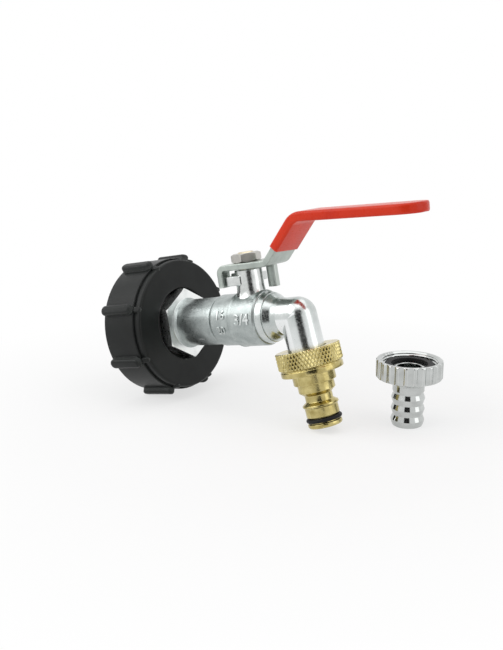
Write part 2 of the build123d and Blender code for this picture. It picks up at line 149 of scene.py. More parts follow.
def alongAxis(tree, place, axis, perMetre):
    # A fine noise that changes only along an axis: the rings that a turning tool leaves.
    dot = tree.nodes.new("ShaderNodeVectorMath")
    dot.operation = "DOT_PRODUCT"
    dot.inputs[1].default_value = axis
    tree.links.new(place, dot.inputs[0])
    noise = tree.nodes.new("ShaderNodeTexNoise")
    noise.noise_dimensions = "1D"
    noise.inputs["Scale"].default_value = perMetre
    noise.inputs["Detail"].default_value = 3
    tree.links.new(dot.outputs["Value"], noise.inputs["W"])
    return noise.outputs["Fac"]


# Depth of the relief in metres, and the pointiness over which a metal edge turns bright with wear and a
# painted highlight
metalRelief = {"grain": 0.00005, "mottle": 0.0002, "rings": 0.00004, "edgeRange": (0.52, 0.6)}
plasticRelief = {"grain": 0.00006, "mottle": 0.0003}


def metalFinish(name, look):
    # Cast, plated, turned or brushed metal from the values of one dictionary.
    material, tree, shader, place = newFinish(name)
    shader.inputs["Metallic"].default_value = 1
    broad = noiseLayer(tree, place, look["mottle"], 4)
    fine = noiseLayer(tree, place, look["grain"], 5, 0.6, look.get("stretch"))
    colour = colourBetween(tree, broad, 0.3, 0.7, look["dark"], look["light"])
    # Edges get a lighter colour: partly wear, partly a painted highlight.
    colour = wearAndHighlightTowards(tree, colour, look["edge"], edgeAmount(tree, *metalRelief["edgeRange"]))
    tree.links.new(colour, shader.inputs["Base Color"])
    tree.links.new(rangeOf(tree, fine, look["smooth"], look["rough"]), shader.inputs["Roughness"])
    layers = [
        (fine, look["grainBump"], metalRelief["grain"]), (broad, look["mottleBump"], metalRelief["mottle"])]
    if "rings" in look:
        toolMarks = alongAxis(tree, place, look["ringAxis"], look["rings"])
        layers.append((toolMarks, look["ringBump"], metalRelief["rings"]))
    addBumps(tree, shader, layers)
    return material


def plasticFinish(name, look):
    material, tree, shader, place = newFinish(name)
    shader.inputs["Specular IOR Level"].default_value = look["gloss"]
    broad = noiseLayer(tree, place, look["mottle"], 3)
    fine = noiseLayer(tree, place, look["grain"], 4, 0.65)
    colour = colourBetween(tree, broad, 0.3, 0.7, look["dark"], look["light"])
    # Edges get a lighter colour: partly wear, partly a painted highlight.
    colour = wearAndHighlightTowards(tree, colour, look["edge"], edgeAmount(tree, *look["edgeRange"]))
    tree.links.new(colour, shader.inputs["Base Color"])
    tree.links.new(rangeOf(tree, fine, look["smooth"], look["rough"]), shader.inputs["Roughness"])
    addBumps(tree, shader, [
        (fine, look["grainBump"], plasticRelief["grain"]),
        (broad, look["mottleBump"], plasticRelief["mottle"])])
    if "coat" in look:
        shader.inputs["Coat Weight"].default_value = look["coat"]
        shader.inputs["Coat Roughness"].default_value = look["coatRough"]
    return material


# The edge colour of each finish is edge wear together with a painted highlight on its edges.
finishes = {
    "blackPlastic": plasticFinish("blackPlastic", {
        "dark": (0.008, 0.0092, 0.0088), "light": (0.0135, 0.0155, 0.0147), "edge": (0.1, 0.107, 0.104),
        "mottle": 90, "grain": 2600, "smooth": 0.3, "rough": 0.46, "gloss": 0.2,
        "grainBump": 0.22, "mottleBump": 0.12, "edgeRange": (0.52, 0.58)}),
    "blackRubber": plasticFinish("blackRubber", {
        "dark": (0.006, 0.006, 0.0065), "light": (0.012, 0.012, 0.0125), "edge": (0.03, 0.03, 0.03),
        "mottle": 200, "grain": 3000, "smooth": 0.4, "rough": 0.6, "gloss": 0.2,
        "grainBump": 0.2, "mottleBump": 0.2, "edgeRange": (0.53, 0.65)}),
    "castPlating": metalFinish("castPlating", {
        "dark": (0.33, 0.365, 0.36), "light": (0.47, 0.51, 0.5), "edge": (0.8, 0.83, 0.82),
        "mottle": 260, "grain": 1500, "smooth": 0.24, "rough": 0.4, "grainBump": 0.3, "mottleBump": 0.25}),
    "hexPlating": metalFinish("hexPlating", {
        "dark": (0.48, 0.5, 0.49), "light": (0.66, 0.68, 0.67), "edge": (0.88, 0.9, 0.89),
        "mottle": 420, "grain": 1300, "smooth": 0.24, "rough": 0.42, "grainBump": 0.4, "mottleBump": 0.4}),
    "satinSpout": metalFinish("satinSpout", {
        "dark": (0.48, 0.52, 0.51), "light": (0.64, 0.67, 0.66), "edge": (0.84, 0.86, 0.86),
        "mottle": 150, "grain": 1100, "smooth": 0.16, "rough": 0.3, "grainBump": 0.3, "mottleBump": 0.12}),
    "postPlating": metalFinish("postPlating", {
        "dark": (0.54, 0.56, 0.55), "light": (0.7, 0.72, 0.71), "edge": (0.86, 0.88, 0.87),
        "mottle": 260, "grain": 1000, "smooth": 0.16, "rough": 0.3, "grainBump": 0.5, "mottleBump": 0.2}),
    "turnedBrass": metalFinish("turnedBrass", {
        "dark": (0.36, 0.29, 0.1), "light": (0.62, 0.53, 0.24), "edge": (0.86, 0.79, 0.46),
        "mottle": 220, "grain": 1600, "smooth": 0.14, "rough": 0.26, "grainBump": 0.08, "mottleBump": 0.05,
        "rings": 2600, "ringAxis": tuple(legAxis), "ringBump": 0.12}),
    "stemBrass": metalFinish("stemBrass", {
        "dark": (0.5, 0.42, 0.28), "light": (0.62, 0.54, 0.36), "edge": (0.8, 0.74, 0.58),
        "mottle": 300, "grain": 1800, "smooth": 0.2, "rough": 0.36, "grainBump": 0.2, "mottleBump": 0.1}),
    "zincSteel": metalFinish("zincSteel", {
        "dark": (0.36, 0.4, 0.37), "light": (0.48, 0.53, 0.49), "edge": (0.72, 0.76, 0.73),
        "mottle": 180, "grain": 900, "smooth": 0.26, "rough": 0.42, "grainBump": 0.18, "mottleBump": 0.1,
        "stretch": (0.12, 1, 1)}),
    "nutSteel": metalFinish("nutSteel", {
        "dark": (0.07, 0.066, 0.056), "light": (0.15, 0.142, 0.122), "edge": (0.7, 0.69, 0.65),
        "mottle": 400, "grain": 2000, "smooth": 0.26, "rough": 0.42, "grainBump": 0.25, "mottleBump": 0.15}),
    "redSleeve": plasticFinish("redSleeve", {
        "dark": (0.6, 0.026, 0.006), "light": (0.7, 0.04, 0.01), "edge": (0.74, 0.055, 0.02),
        "mottle": 60, "grain": 1400, "smooth": 0.24, "rough": 0.36, "gloss": 0.2,
        "grainBump": 0.05, "mottleBump": 0.16, "edgeRange": (0.53, 0.65), "coat": 0.07, "coatRough": 0.1}),
    "brightChrome": metalFinish("brightChrome", {
        "dark": (0.45, 0.465, 0.455), "light": (0.58, 0.6, 0.59), "edge": (0.88, 0.89, 0.88),
        "mottle": 160, "grain": 1200, "smooth": 0.07, "rough": 0.15, "grainBump": 0.03, "mottleBump": 0.03}),
    "whiteSeat": plasticFinish("whiteSeat", {
        "dark": (0.8, 0.79, 0.76), "light": (0.88, 0.87, 0.85), "edge": (0.93, 0.92, 0.9),
        "mottle": 150, "grain": 2200, "smooth": 0.35, "rough": 0.5, "gloss": 0.4,
        "grainBump": 0.1, "mottleBump": 0.05, "edgeRange": (0.53, 0.65)}),
}
print("finishes made:", len(finishes))


def roundedCorners(corners, closed, steps=6):
    # Corners are (across, along) or (across, along, round). Gives points with those corners rounded.
    points = []
    count = len(corners)
    for number, corner in enumerate(corners):
        here = Vector(corner[:2])
        roundness = corner[2] if len(corner) > 2 else 0
        atEnd = not closed and number in (0, count - 1)
        if roundness <= 0 or atEnd:
            points.append(here)
            continue
        back = Vector(corners[number - 1][:2]) - here
        ahead = Vector(corners[(number + 1) % count][:2]) - here
        halfAngle = back.angle(ahead) / 2
        reach = min(roundness / math.tan(halfAngle), 0.49 * min(back.length, ahead.length))
        back.normalize()
        ahead.normalize()
        centre = here + (back + ahead).normalized() * reach / math.cos(halfAngle)
        first = here + back * reach - centre
        last = here + ahead * reach - centre
        turn = first.angle_signed(last)
        for step in range(steps + 1):
            angle = -turn * step / steps
            points.append(centre + Vector((
                first.x * math.cos(angle) - first.y * math.sin(angle),
                first.x * math.sin(angle) + first.y * math.cos(angle))))
    return points


def splitRuns(points, low, high, longest, closed=True):
    # Adds points on the runs between two heights, for a wall that is shaped along its length.
    result = []
    count = len(points)
    for number, here in enumerate(points):
        result.append(here)
        if number == count - 1 and not closed:
            break
        after = points[(number + 1) % count]
        inside = low - 0.001 <= min(here.y, after.y) and max(here.y, after.y) <= high + 0.001
        pieces = math.ceil((after - here).length / longest) if inside else 1
        for piece in range(1, pieces):
            result.append(here.lerp(after, piece / pieces))
    return result


def meshPiece(name, shape, place, finish, body, nodes, sharpAngle):
    # A piece from (points, faces), moved to its place in metres. It takes the place of the named solids.
    verts, faces = shape
    mesh = bpy.data.meshes.new(name)
    mesh.from_pydata([tuple(v) for v in verts], [], faces)
    skin = bmesh.new()
    skin.from_mesh(mesh)
    bmesh.ops.remove_doubles(skin, verts=skin.verts, dist=0.0005)
    bmesh.ops.recalc_face_normals(skin, faces=skin.faces)
    skin.to_mesh(mesh)
    skin.free()
    mesh.transform(place)
    return addPiece(name, mesh, finish, body, nodes, sharpAngle)


def addPiece(name, mesh, finish, body, nodes, sharpAngle):
    mesh.materials.clear()
    mesh.materials.append(finishes[finish])
    mesh.shade_smooth()
    mesh.set_sharp_from_angle(angle=math.radians(sharpAngle))
    piece = bpy.data.objects.new(name, mesh)
    bpy.context.scene.collection.objects.link(piece)
    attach(piece, body)
    if nodes:
        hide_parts(*nodes)
    return piece


def ringFaces(rows, columns, closed):
    # Quads between rings of points. The last ring joins the first, or else both ends get a cap.
    faces = []
    for row in range(rows if closed else rows - 1):
        nextRow = (row + 1) % rows
        for column in range(columns):
            nextColumn = (column + 1) % columns
            faces.append((row * columns + column, row * columns + nextColumn,
                          nextRow * columns + nextColumn, nextRow * columns + column))
    if not closed:
        faces.append(tuple(range(columns)))
        faces.append(tuple((rows - 1) * columns + column for column in range(columns)))
    return faces


def turnedShape(points, columns, change=None):
    # Turns (radius, height) points about Z. change(radius, height, angle) gives a new radius.
    verts = []
    for point in points:
        for column in range(columns):
            angle = 2 * math.pi * column / columns
            radius = change(point.x, point.y, angle) if change else point.x
            verts.append((radius * math.cos(angle), radius * math.sin(angle), point.y))
    return verts, ringFaces(len(points), columns, True)


def pillShape(length, width, foot, height, roundness, steps=8):
    # A raised pill with rounded top edges, standing on z = foot, long along X.
    levels = [(0.0, foot)]
    for step in range(steps + 1):
        angle = math.radians(90) * step / steps
        levels.append((roundness * (1 - math.cos(angle)), height - roundness * (1 - math.sin(angle))))
    verts = []
    for inset, level in levels:
        radius = width / 2 - inset
        straight = (length - width) / 2
        for side in (1, -1):
            for step in range(2 * steps + 1):
                angle = math.radians(-90 + 180 * step / (2 * steps))
                along = side * (straight + radius * math.cos(angle))
                verts.append((along, side * radius * math.sin(angle), level))
    return verts, ringFaces(len(levels), 2 * (2 * steps + 1), False)


def moved(shape, place):
    verts, faces = shape
    return [place @ Vector(v) for v in verts], faces


def joined(shapes):
    verts = []
    faces = []
    for shapeVerts, shapeFaces in shapes:
        start = len(verts)
        verts += shapeVerts
        faces += [tuple(start + corner for corner in face) for face in shapeFaces]
    return verts, faces


def pillBox(low, high, roundness):
    # A box with rounded edges, from a bevelled cube.
    shape = bmesh.new()
    bmesh.ops.create_cube(shape, size=1)
    size = Vector(high) - Vector(low)
    middle = (Vector(high) + Vector(low)) / 2
    for vert in shape.verts:
        vert.co = Vector((vert.co.x * size.x, vert.co.y * size.y, vert.co.z * size.z)) + middle
    bmesh.ops.bevel(shape, geom=shape.edges[:], offset=roundness, segments=4, profile=0.5, affect="EDGES")
    verts = [vert.co.copy() for vert in shape.verts]
    shape.verts.index_update()
    faces = [tuple(vert.index for vert in face.verts) for face in shape.faces]
    shape.free()
    return verts, faces


def sawtooth(value):
    # Distance to the nearest whole number, 0 to 0.5.
    return abs(value - round(value))


coupling = {
    "outside": 34.4, "frontRing": 33.4, "front": -3.3, "frontDish": 0.5, "shoulder": -7.3, "mouth": -28.0,
    "grooveFloor": -7.5, "grooveOutside": 33.8, "threadRoot": 30.15, "threadHeight": 1.7, "threadPitch": 6.0,
    "cavityFloor": -12.0, "relief": 29.1, "reliefEnd": -15.3, "recess": 18.5, "recessFloor": -8.5,
    "boss": 18.0, "bossEnd": -15.0, "hole": 13.2,
    "ribCount": 8, "ribWidth": 5.2, "ribHeight": 3.08, "ribRound": 1.5, "ribSink": 1.2,
    "footShorter": 0.4, "footWider": 0.9, "footHeight": 0.25, "footRound": 0.4, "footSink": 1.4,
    "nubLength": 4.4, "nubWidth": 3.0, "nubHeight": 0.9, "nubRound": 0.7, "nubSink": 1.2, "nubSeat": 0.45,
    "fadeLength": 1.5, "threadFromMouth": 1.0, "columns": 288, "threadStep": 0.3, "wallStep": 1.2,
}


def couplingWall(radius, along, angle):
    # The coarse female thread, cut away again towards the mouth and the floor.
    if abs(radius - coupling["threadRoot"]) > 0.01:
        return radius
    turns = along / coupling["threadPitch"] + angle / (2 * math.pi)
    ridge = min(1, max(0, (0.5 - sawtooth(turns)) * 4 - 1.0))
    fromMouth = (along - coupling["mouth"] - coupling["threadFromMouth"]) / coupling["fadeLength"]
    fromRelief = (coupling["reliefEnd"] - along) / coupling["fadeLength"]
    fade = max(0, min(1, fromMouth, fromRelief))
    return radius - coupling["threadHeight"] * ridge * fade


def makeCoupling():
    c = coupling
    corners = [
        (c["hole"], c["recessFloor"]), (c["recess"], c["recessFloor"], 0.5),
        (c["recess"], c["front"] - c["frontDish"], 0.8), (c["frontRing"], c["front"], 1.3),
        (c["frontRing"] - 0.1, c["grooveFloor"], 0.3), (c["grooveOutside"] - 0.1, c["grooveFloor"], 0.2),
        (c["grooveOutside"], c["shoulder"] + 0.2, 0.2), (c["outside"], c["shoulder"], 0.5),
        (c["outside"], c["mouth"], 0.8), (c["threadRoot"], c["mouth"], 0.6),
        (c["threadRoot"], c["reliefEnd"]), (c["relief"], c["reliefEnd"]), (c["relief"], c["cavityFloor"]),
        (c["boss"], c["cavityFloor"]),
        (c["boss"], c["bossEnd"], 0.5), (c["hole"], c["bossEnd"])]
    points = splitRuns(roundedCorners(corners, True), c["mouth"] + 0.6, c["reliefEnd"], c["threadStep"])
    points = splitRuns(points, c["mouth"], c["front"], c["wallStep"])
    shapes = [moved(turnedShape(points, c["columns"], couplingWall), alongX)]
    outside = c["outside"]
    ribLength = c["shoulder"] - c["mouth"]
    rib = pillShape(
        ribLength, c["ribWidth"], outside - c["ribSink"], outside + c["ribHeight"], c["ribRound"])
    foot = pillShape(
        ribLength - c["footShorter"], c["ribWidth"] + c["footWider"],
        outside - c["footSink"], outside + c["footHeight"], c["footRound"])
    rib = moved(joined([rib, foot]), Matrix.Translation(((c["shoulder"] + c["mouth"]) / 2, 0, 0)))
    slope = math.atan2(outside - c["frontRing"], c["front"] - c["shoulder"])
    nubAlong = (c["shoulder"] + c["front"]) / 2
    nub = moved(
        pillShape(c["nubLength"], c["nubWidth"], -c["nubSink"], c["nubHeight"], c["nubRound"]),
        Matrix.Translation((nubAlong, 0, (outside + c["frontRing"]) / 2 - c["nubSeat"]))
        @ Matrix.Rotation(slope, 4, "Y"))
    for number in range(c["ribCount"]):
        turn = Matrix.Rotation(math.radians((number + 0.5) * 360 / c["ribCount"]), 4, "X")
        shapes += [moved(rib, turn), moved(nub, turn)]
    piece = meshPiece("couplingShell", joined(shapes), valveFrame, "blackPlastic", "valve", ["coupling"], 38)


makeCoupling()
print("coupling made")

body = {
    "hexFlats": 31.6, "hexBack": -7.0, "hexRound": 0.45, "hexFlat": 17.4, "hexSlope": 35, "hexLap": 0.6,
    "thread": 13.1, "threadEnd": -15.0, "neck": 12.05, "neckEnd": 24.0, "band": 12.9, "bandEnd": 37.0,
    "chamber": 13.6, "chamberEnd": 52.3, "groove": 12.6, "endFace": 53.3, "inletBore": 8.0,
    "seatRoom": 9.0, "seatRoomStart": 36.2, "plugRoom": 11.65, "plugDepth": 4.15, "waist": 5.0,
    "waistLength": 1.0, "coneEnd": 4.0, "columns": 240, "wallStep": 1.5, "unevenness": 0.035,
    "post": 6.8, "postTop": 24.6, "flare": 1.4, "flareLow": 10.8, "flareHigh": 16.2, "flareSteps": 12,
    "postSink": 1.6, "postBore": 4.3, "stemBore": 4.25,
    "backLug": ((-9.4, -7.3, 17.4), (0.0, 2.0, 22.2)),
    "backStep": ((-8.6, -3.4, 18.4), (0.0, 2.0, 23.4)),
    "sideLug": ((-2.3, 0.0, 17.7), (2.3, 11.6, 21.9)), "lugRound": 0.5, "voxel": 0.22, "smoothing": 2,
}


def hexagonShape(flats, low, high, flatRadius, slopeDegrees, roundness, hole, turnDegrees, steps=8):
    # A hexagon prism round a hole, with its corners turned down at both ends.
    corner = flats / math.sqrt(3)
    vertices = []
    for number in range(6):
        angle = math.radians(turnDegrees + 60 * number)
        vertices.append((corner * math.cos(angle), corner * math.sin(angle), roundness))
    outline = []
    rounded = roundedCorners(vertices, True, 4)
    for number, here in enumerate(rounded):
        after = rounded[(number + 1) % len(rounded)]
        pieces = steps * 2 if (after - here).length > flats / 8 else 1
        outline += [here.lerp(after, piece / pieces) for piece in range(pieces)]
    slope = math.tan(math.radians(slopeDegrees))

    def levels(point):
        reach = point.length
        drop = max(0, reach - flatRadius) * slope
        flat = min(flatRadius, reach)
        inner = point.normalized() * hole
        shoulder = point.normalized() * flat
        return [
            (inner, low), (shoulder, low), (point, low + drop),
            (point, high - drop), (shoulder, high), (inner, high)]

    verts = []
    for point in outline:
        verts += [(at.x, at.y, height) for at, height in levels(point)]
    faces = []
    for number in range(len(outline)):
        after = (number + 1) % len(outline)
        for level in range(6):
            nextLevel = (level + 1) % 6
            faces.append((
                number * 6 + level, after * 6 + level, after * 6 + nextLevel, number * 6 + nextLevel))
    return verts, faces


def makeHexagon():
    b = body
    shape = hexagonShape(
        b["hexFlats"], b["hexBack"], 0.0, b["hexFlat"], b["hexSlope"], b["hexRound"],
        b["neck"] - b["hexLap"], 0)
    piece = meshPiece("bodyHexagon", moved(shape, alongX), valveFrame, "hexPlating", "valve", [], 25)


def makeBodyTube():
    # One turned wall: the inlet thread, neck, band, chamber and groove outside, then the rooms inside.
    b = body
    neck, band, chamber = b["neck"], b["band"], b["chamber"]
    neckEnd, bandEnd, chamberEnd, endFace = b["neckEnd"], b["bandEnd"], b["chamberEnd"], b["endFace"]
    plugFloor = endFace - b["plugDepth"]
    roomStart = b["seatRoomStart"]
    corners = [
        (b["inletBore"], b["threadEnd"], 0.5), (b["thread"], b["threadEnd"], 0.8),
        (b["thread"], b["hexBack"] + 0.5), (neck - 0.4, b["hexBack"] + 0.6), (neck - 0.4, -0.4),
        (neck + 1.2, -0.3), (neck + 0.7, 0.4, 0.6), (neck, 1.7, 1.8),
        (neck, neckEnd - 0.5, 0.2), (neck - 0.6, neckEnd - 0.1, 0.1), (neck + 0.1, neckEnd + 0.3, 0.2),
        (band, neckEnd + 1.2, 0.6), (band, bandEnd - 1.3, 0.2), (band - 0.2, bandEnd - 0.9, 0.2),
        (chamber + 0.2, bandEnd - 0.3, 0.2), (chamber + 0.2, bandEnd + 0.3, 0.2),
        (chamber, bandEnd + 0.9, 0.5), (chamber, chamberEnd - 0.9, 0.5), (chamber - 0.5, chamberEnd, 0.2),
        (b["groove"], chamberEnd + 0.1, 0.1), (b["groove"], endFace), (b["plugRoom"], endFace),
        (b["plugRoom"], plugFloor), (b["seatRoom"], plugFloor), (b["seatRoom"], roomStart),
        (b["waist"], roomStart), (b["waist"], roomStart - b["waistLength"]),
        (b["inletBore"], roomStart - b["coneEnd"])]
    points = splitRuns(roundedCorners(corners, True, 5), -1, chamberEnd, b["wallStep"])
    shape = turnedShape(points, b["columns"], castingUnevenness)
    place = valveFrame @ alongX
    piece = meshPiece("bodyTube", shape, place, "castPlating", "valve", ["valve_body"], 35)


def castingUnevenness(radius, along, angle):
    # A sand casting is never quite round: a few hundredths of slow waviness outside.
    if radius < body["neck"] - 0.5 or along < 1 or along > body["chamberEnd"] - 1:
        return radius
    wave = math.sin(3 * angle + along * 0.21) + 0.7 * math.sin(5 * angle - along * 0.33 + 1.1)
    return radius + body["unevenness"] * wave


def remeshed(shape, voxel, smoothing):
    # Melts overlapping shapes into one soft-edged skin.
    verts, faces = shape
    mesh = bpy.data.meshes.new("melt")
    mesh.from_pydata([tuple(v) for v in verts], [], faces)
    carrier = bpy.data.objects.new("melt", mesh)
    bpy.context.scene.collection.objects.link(carrier)
    melt = carrier.modifiers.new("melt", "REMESH")
    melt.mode = "VOXEL"
    melt.voxel_size = voxel
    soften = carrier.modifiers.new("soften", "SMOOTH")
    soften.factor = 0.5
    soften.iterations = smoothing
    depsgraph = bpy.context.evaluated_depsgraph_get()
    result = bpy.data.meshes.new_from_object(carrier.evaluated_get(depsgraph))
    bpy.data.objects.remove(carrier)
    return result


def makePost():
    # The stem's post with its hollow flare and the two stop lugs, one soft casting.
    b = body
    foot = b["flareLow"] - b["postSink"]
    corners = [(b["postBore"], foot), (b["post"] + b["flare"], foot)]
    rise = b["flareHigh"] - b["flareLow"]
    flareRound = (b["flare"] ** 2 + rise ** 2) / (2 * b["flare"])
    for step in range(b["flareSteps"] + 1):
        height = b["flareLow"] + rise * step / b["flareSteps"]
        sag = flareRound - math.sqrt(flareRound ** 2 - (b["flareHigh"] - height) ** 2)
        corners.append((b["post"] + sag, height))
    corners += [(b["post"], b["postTop"], 0.3), (b["postBore"], b["postTop"], 0.3)]
    post = turnedShape(roundedCorners(corners, True), 120)
    lugs = [pillBox(*b[name], b["lugRound"]) for name in ("backLug", "backStep", "sideLug")]
    mesh = remeshed(joined([post] + lugs), b["voxel"], b["smoothing"])
    skin = bmesh.new()
    skin.from_mesh(mesh)
    for vert in skin.verts:  # the stem's bore stays open where the lugs cross it
        across = math.hypot(vert.co.x, vert.co.y)
        if 0.01 < across < b["stemBore"]:
            vert.co.x *= b["stemBore"] / across
            vert.co.y *= b["stemBore"] / across
    skin.to_mesh(mesh)
    skin.free()
    mesh.transform(aboutStem)
    piece = addPiece("bodyPost", mesh, "postPlating", "valve", [], 60)


marks = {
    "raise": 0.42, "thicken": 0.05, "bevel": 0.08, "rows": [
        {"text": "16", "along": 31.3, "angle": 161.5, "radius": 12.95, "size": 6.2},
        {"text": "20", "along": 31.1, "angle": 194.5, "radius": 12.95, "size": 5.2},
        {"text": "3/4", "along": 45.3, "angle": 174.0, "radius": 13.6, "size": 7.2}],
}


def makeMarks():
    # Raised size numbers, bent round the body and reading along the pipe.
    shapes = []
    for row in marks["rows"]:
        curve = bpy.data.curves.new("mark", "FONT")
        curve.body = row["text"]
        curve.size = row["size"]
        curve.align_x = "CENTER"
        curve.align_y = "CENTER"
        curve.extrude = marks["raise"]
        curve.offset = marks["thicken"]
        curve.bevel_depth = marks["bevel"]
        curve.bevel_resolution = 1
        curve.resolution_u = 3
        carrier = bpy.data.objects.new("mark", curve)
        bpy.context.scene.collection.objects.link(carrier)
        depsgraph = bpy.context.evaluated_depsgraph_get()
        mesh = bpy.data.meshes.new_from_object(carrier.evaluated_get(depsgraph))
        bpy.data.objects.remove(carrier)
        verts = []
        for vert in mesh.vertices:
            angle = math.radians(row["angle"]) - vert.co.y / row["radius"]
            radius = row["radius"] + vert.co.z
            along = row["along"] + vert.co.x
            verts.append(Vector((along, radius * math.cos(angle), radius * math.sin(angle))))
        shapes.append((verts, [tuple(face.vertices) for face in mesh.polygons]))
    piece = meshPiece("bodyMarks", joined(shapes), valveFrame, "castPlating", "valve", [], 50)


makeHexagon()
makeBodyTube()
makePost()
makeMarks()
print("valve body made")

spout = {
    "tube": 8.95, "start": 53.3, "corner": 69.4, "legLength": 22.5, "columns": 128, "kneeRows": 20,
    "bore": 6.2, "boreDepth": 16.0, "collar": 12.8, "collarFoot": 12.0, "parting": 55.9, "partingDepth": 0.6,
    "dome": 11.8, "waist": 9.7, "waistAt": 59.6, "domeEnd": 62.6, "lap": 1.5, "seat": 0.05,
    "collarColumns": 192,
}


def kneeTube(s, lean):
    # A level tube that turns down into its leg over a ball-shaped knee, with a crease inside.
    columns = s["columns"]
    down = Vector((math.sin(lean), -math.cos(lean)))
    across = Vector((math.cos(lean), math.sin(lean)))
    corner = Vector((s["corner"], 0))
    verts = []

    def addRing(centre, side, radius):
        for column in range(columns):
            angle = 2 * math.pi * column / columns
            place = centre + side * radius * math.cos(angle)
            verts.append((place.x, radius * math.sin(angle), place.y))

    addRing(Vector((s["start"], 0)), Vector((0, 1)), s["tube"])
    for row in range(s["kneeRows"] + 1):
        angle = (math.radians(90) - lean) * row / s["kneeRows"]
        addRing(corner, Vector((math.sin(angle), math.cos(angle))), s["tube"])
    addRing(corner + down * s["legLength"], across, s["tube"])
    addRing(corner + down * s["legLength"], across, s["bore"])
    addRing(corner + down * (s["legLength"] - s["boreDepth"]), across, s["bore"])
    return verts, ringFaces(len(verts) // columns, columns, False)


def makeSpout():
    s = spout
    tube = kneeTube(s, math.radians(valvePlace["legLean"]))
    start = s["start"] - s["seat"]
    parting, lip, inside = s["parting"], s["collarFoot"] - s["partingDepth"], s["tube"] - s["lap"]
    corners = [
        (inside, start), (s["collar"], start, 0.3), (s["collarFoot"], parting, 0.15),
        (lip, parting + 0.1, 0.1), (lip, parting + 0.4, 0.1), (s["dome"], parting + 0.55, 0.4),
        (s["waist"], s["waistAt"], 4.0), (s["tube"] - 0.15, s["domeEnd"], 2.0), (inside, s["domeEnd"] + 0.4)]
    collar = moved(turnedShape(roundedCorners(corners, True, 10), s["collarColumns"]), alongX)
    piece = meshPiece("spoutTube", joined([tube, collar]), valveFrame, "satinSpout", "valve", ["spout"], 45)


makeSpout()
print("spout made")

lever = {
    "thickness": 3.0, "plateBottom": 25.1, "halfWidth": 9.2, "tongueWidth": 6.7, "tongueReach": 12.6,
    "tongueDrop": 11.0, "plateBack": 7.9, "plateBackRound": 2.0, "slantFoot": 17.2, "slantHead": 37.2,
    "rise": 19.7, "droop": 3.8, "end": 99.6, "foldRound": 2.8, "kneeRound": 4.5, "elbowRound": 8.5,
    "edgeRound": 0.5, "tabStart": 6.1, "tabLength": 5.1, "tabBottom": 14.1, "tabLap": 1.6, "tabInset": 0.01,
    "tabRound": 0.4, "noseSteps": 28, "lineStep": 1.2, "cornerSteps": 8, "clearance": 0.1,
}
sleeve = {
    "wall": 0.8, "start": 7.6, "edgeRound": 1.3, "lipSlant": 1.9, "lipWave": 0.25, "lineStep": 1.5,
}
everywhere = (-1000, 1000)  # heights that take in the whole lever


def leverCorners():
    v = lever
    level = v["plateBottom"] + v["thickness"] / 2
    slope = math.tan(math.radians(v["droop"]))
    tongueAlong = -v["tongueReach"] + v["thickness"] / 2
    end = (v["end"], level + v["rise"] - slope * (v["end"] - v["slantHead"]))
    tongueEnd = v["plateBottom"] + v["thickness"] - v["tongueDrop"]
    return [
        (tongueAlong, tongueEnd), (tongueAlong, level, v["foldRound"]),
        (v["slantFoot"], level, v["kneeRound"]), (v["slantHead"], level + v["rise"], v["elbowRound"]), end]


def leverEdges(along, grow):
    # The strip's near and far edge at a distance from the stem: the tongue is as narrow as the near side.
    v = lever
    half = v["halfWidth"] + grow
    intoPlate = along + v["plateBack"]
    if intoPlate < 0:
        return -half, v["tongueWidth"] - half
    left = max(0, v["plateBackRound"] - intoPlate)
    return -half, half - v["plateBackRound"] + math.sqrt(v["plateBackRound"] ** 2 - left ** 2)


def sectionPoints(near, far, halfThickness, roundness, steps=6):
    halfWidth = (far - near) / 2
    roundness = min(roundness, halfWidth * 0.98, halfThickness * 0.98)
    points = []
    for sideY, sideZ, start in ((1, 1, 0), (-1, 1, 90), (-1, -1, 180), (1, -1, 270)):
        for step in range(steps + 1):
            angle = math.radians(start + 90 * step / steps)
            points.append(((near + far) / 2 + sideY * (halfWidth - roundness) + roundness * math.cos(angle),
                           sideZ * (halfThickness - roundness) + roundness * math.sin(angle)))
    return points


def stripShape(centreLine, noseRadius, thickness, roundness, grow, lip=None):
    # Lofts a rounded strip along (along, height) points. The last noseRadius of it is a full round.
    sections = []
    line = list(centreLine)
    last = line[-1]
    ahead = (last - line[-2]).normalized()
    base = last - ahead * noseRadius
    while len(line) > 2 and (line[-1] - base).dot(ahead) > -0.01:
        line.pop()
    for step in range(lever["noseSteps"] + 1):
        line.append(base + ahead * noseRadius * math.sin(math.radians(90) * step / lever["noseSteps"]))
    halfThickness = thickness / 2
    for number, here in enumerate(line):
        before = line[max(0, number - 1)]
        after = line[min(len(line) - 1, number + 1)]
        run = (after - before).normalized()
        up = Vector((-run.y, run.x))
        fromTip = (last - here).dot(ahead)
        near, far = leverEdges(here.x, grow)
        thick = halfThickness
        if fromTip < noseRadius and number > 2:
            fromTip = max(fromTip, 0.02)
            far = math.sqrt(max(0.0, noseRadius ** 2 - (noseRadius - fromTip) ** 2))
            near = -far
            if fromTip < roundness:
                thick = halfThickness - roundness + math.sqrt(roundness ** 2 - (roundness - fromTip) ** 2)
        ring = []
        for across, height in sectionPoints(near, far, thick, roundness):
            slide = lip(across) * max(0, 1 - number / 4) if lip else 0
            at = here + run * slide
            ring.append((at.x + up.x * height, across, at.y + up.y * height))
        sections.append(ring)
    verts = [vert for ring in sections for vert in ring]
    return verts, ringFaces(len(sections), len(sections[0]), False)


